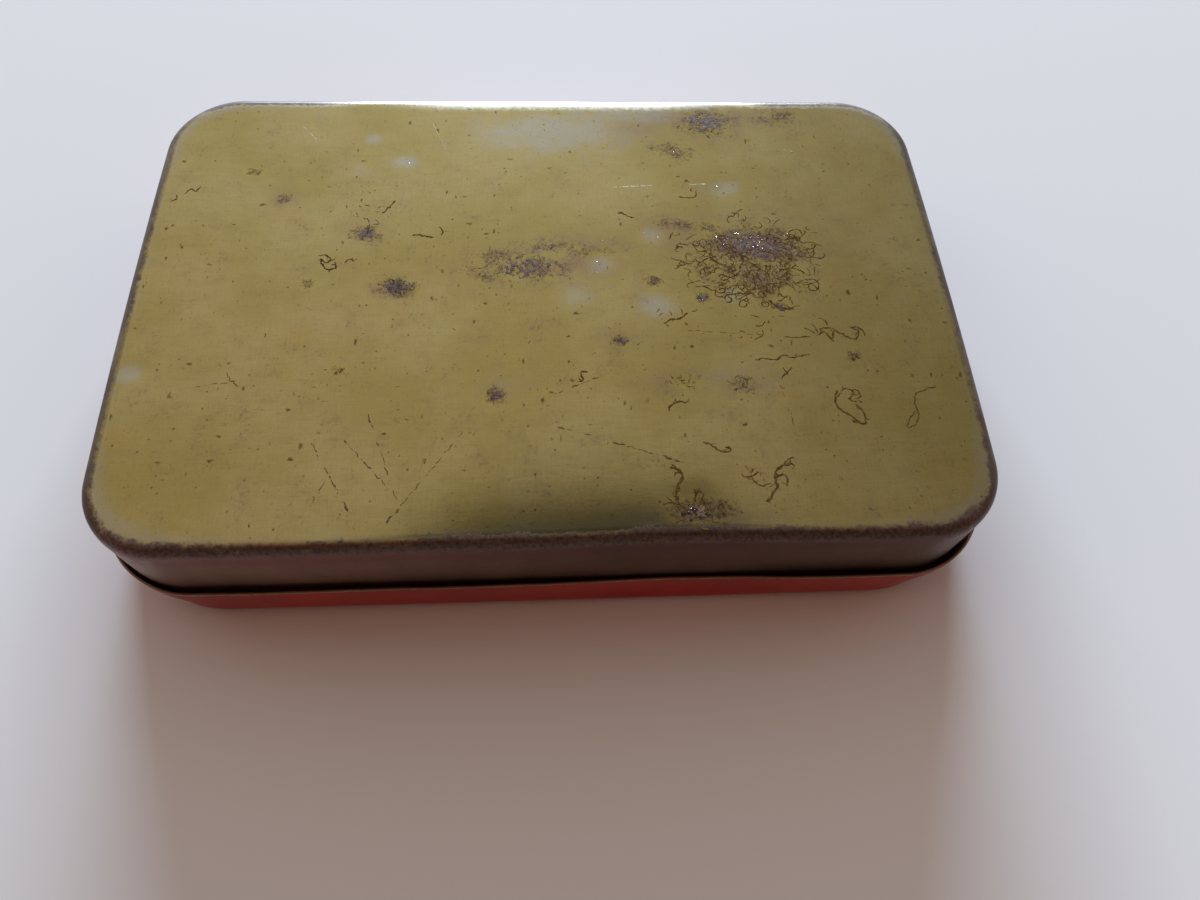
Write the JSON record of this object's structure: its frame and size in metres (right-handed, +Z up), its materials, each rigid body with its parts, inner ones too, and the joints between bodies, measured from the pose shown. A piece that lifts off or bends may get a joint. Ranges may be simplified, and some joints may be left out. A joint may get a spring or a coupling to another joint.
{
  "type": "shoe polish tin",
  "caption": "Flat rectangular tin with rounded corners, closed and lying upside down on its lid, with polish cast in the tray and a loose paper liner.",
  "frame": {"origin": "middle of the lid's outer panel, where the closed tin stands on the table upside down", "axes": "+X along the tin's length, +Y from the front long side to the back long side, +Z up, out of the tray's bottom panel"},
  "size_m": [0.098, 0.0658, 0.0148],
  "materials": {
    "red_enamel": "worn glossy red enamel on tinplate",
    "gold_lacquer": "worn gold lacquer on tinplate with fine rust tracks",
    "polish_wax": "satin dark brown wax",
    "waxed_paper": "thin waxed paper, slightly translucent"
  },
  "bodies": {
    "lid": {"lid": "red_enamel"},
    "liner": {"paper_liner": "waxed_paper"},
    "tray": {"tray": "gold_lacquer", "polish_cake": "polish_wax"}
  },
  "joints": [
    {"name": "liner_lift", "type": "slide", "parent": "lid", "child": "liner", "axis": [0, 0, 1], "range_m": [0, 0.03]},
    {"name": "tray_lift", "type": "slide", "parent": "liner", "child": "tray", "axis": [0, 0, 1], "range_m": [0, 0.06]}
  ]
}
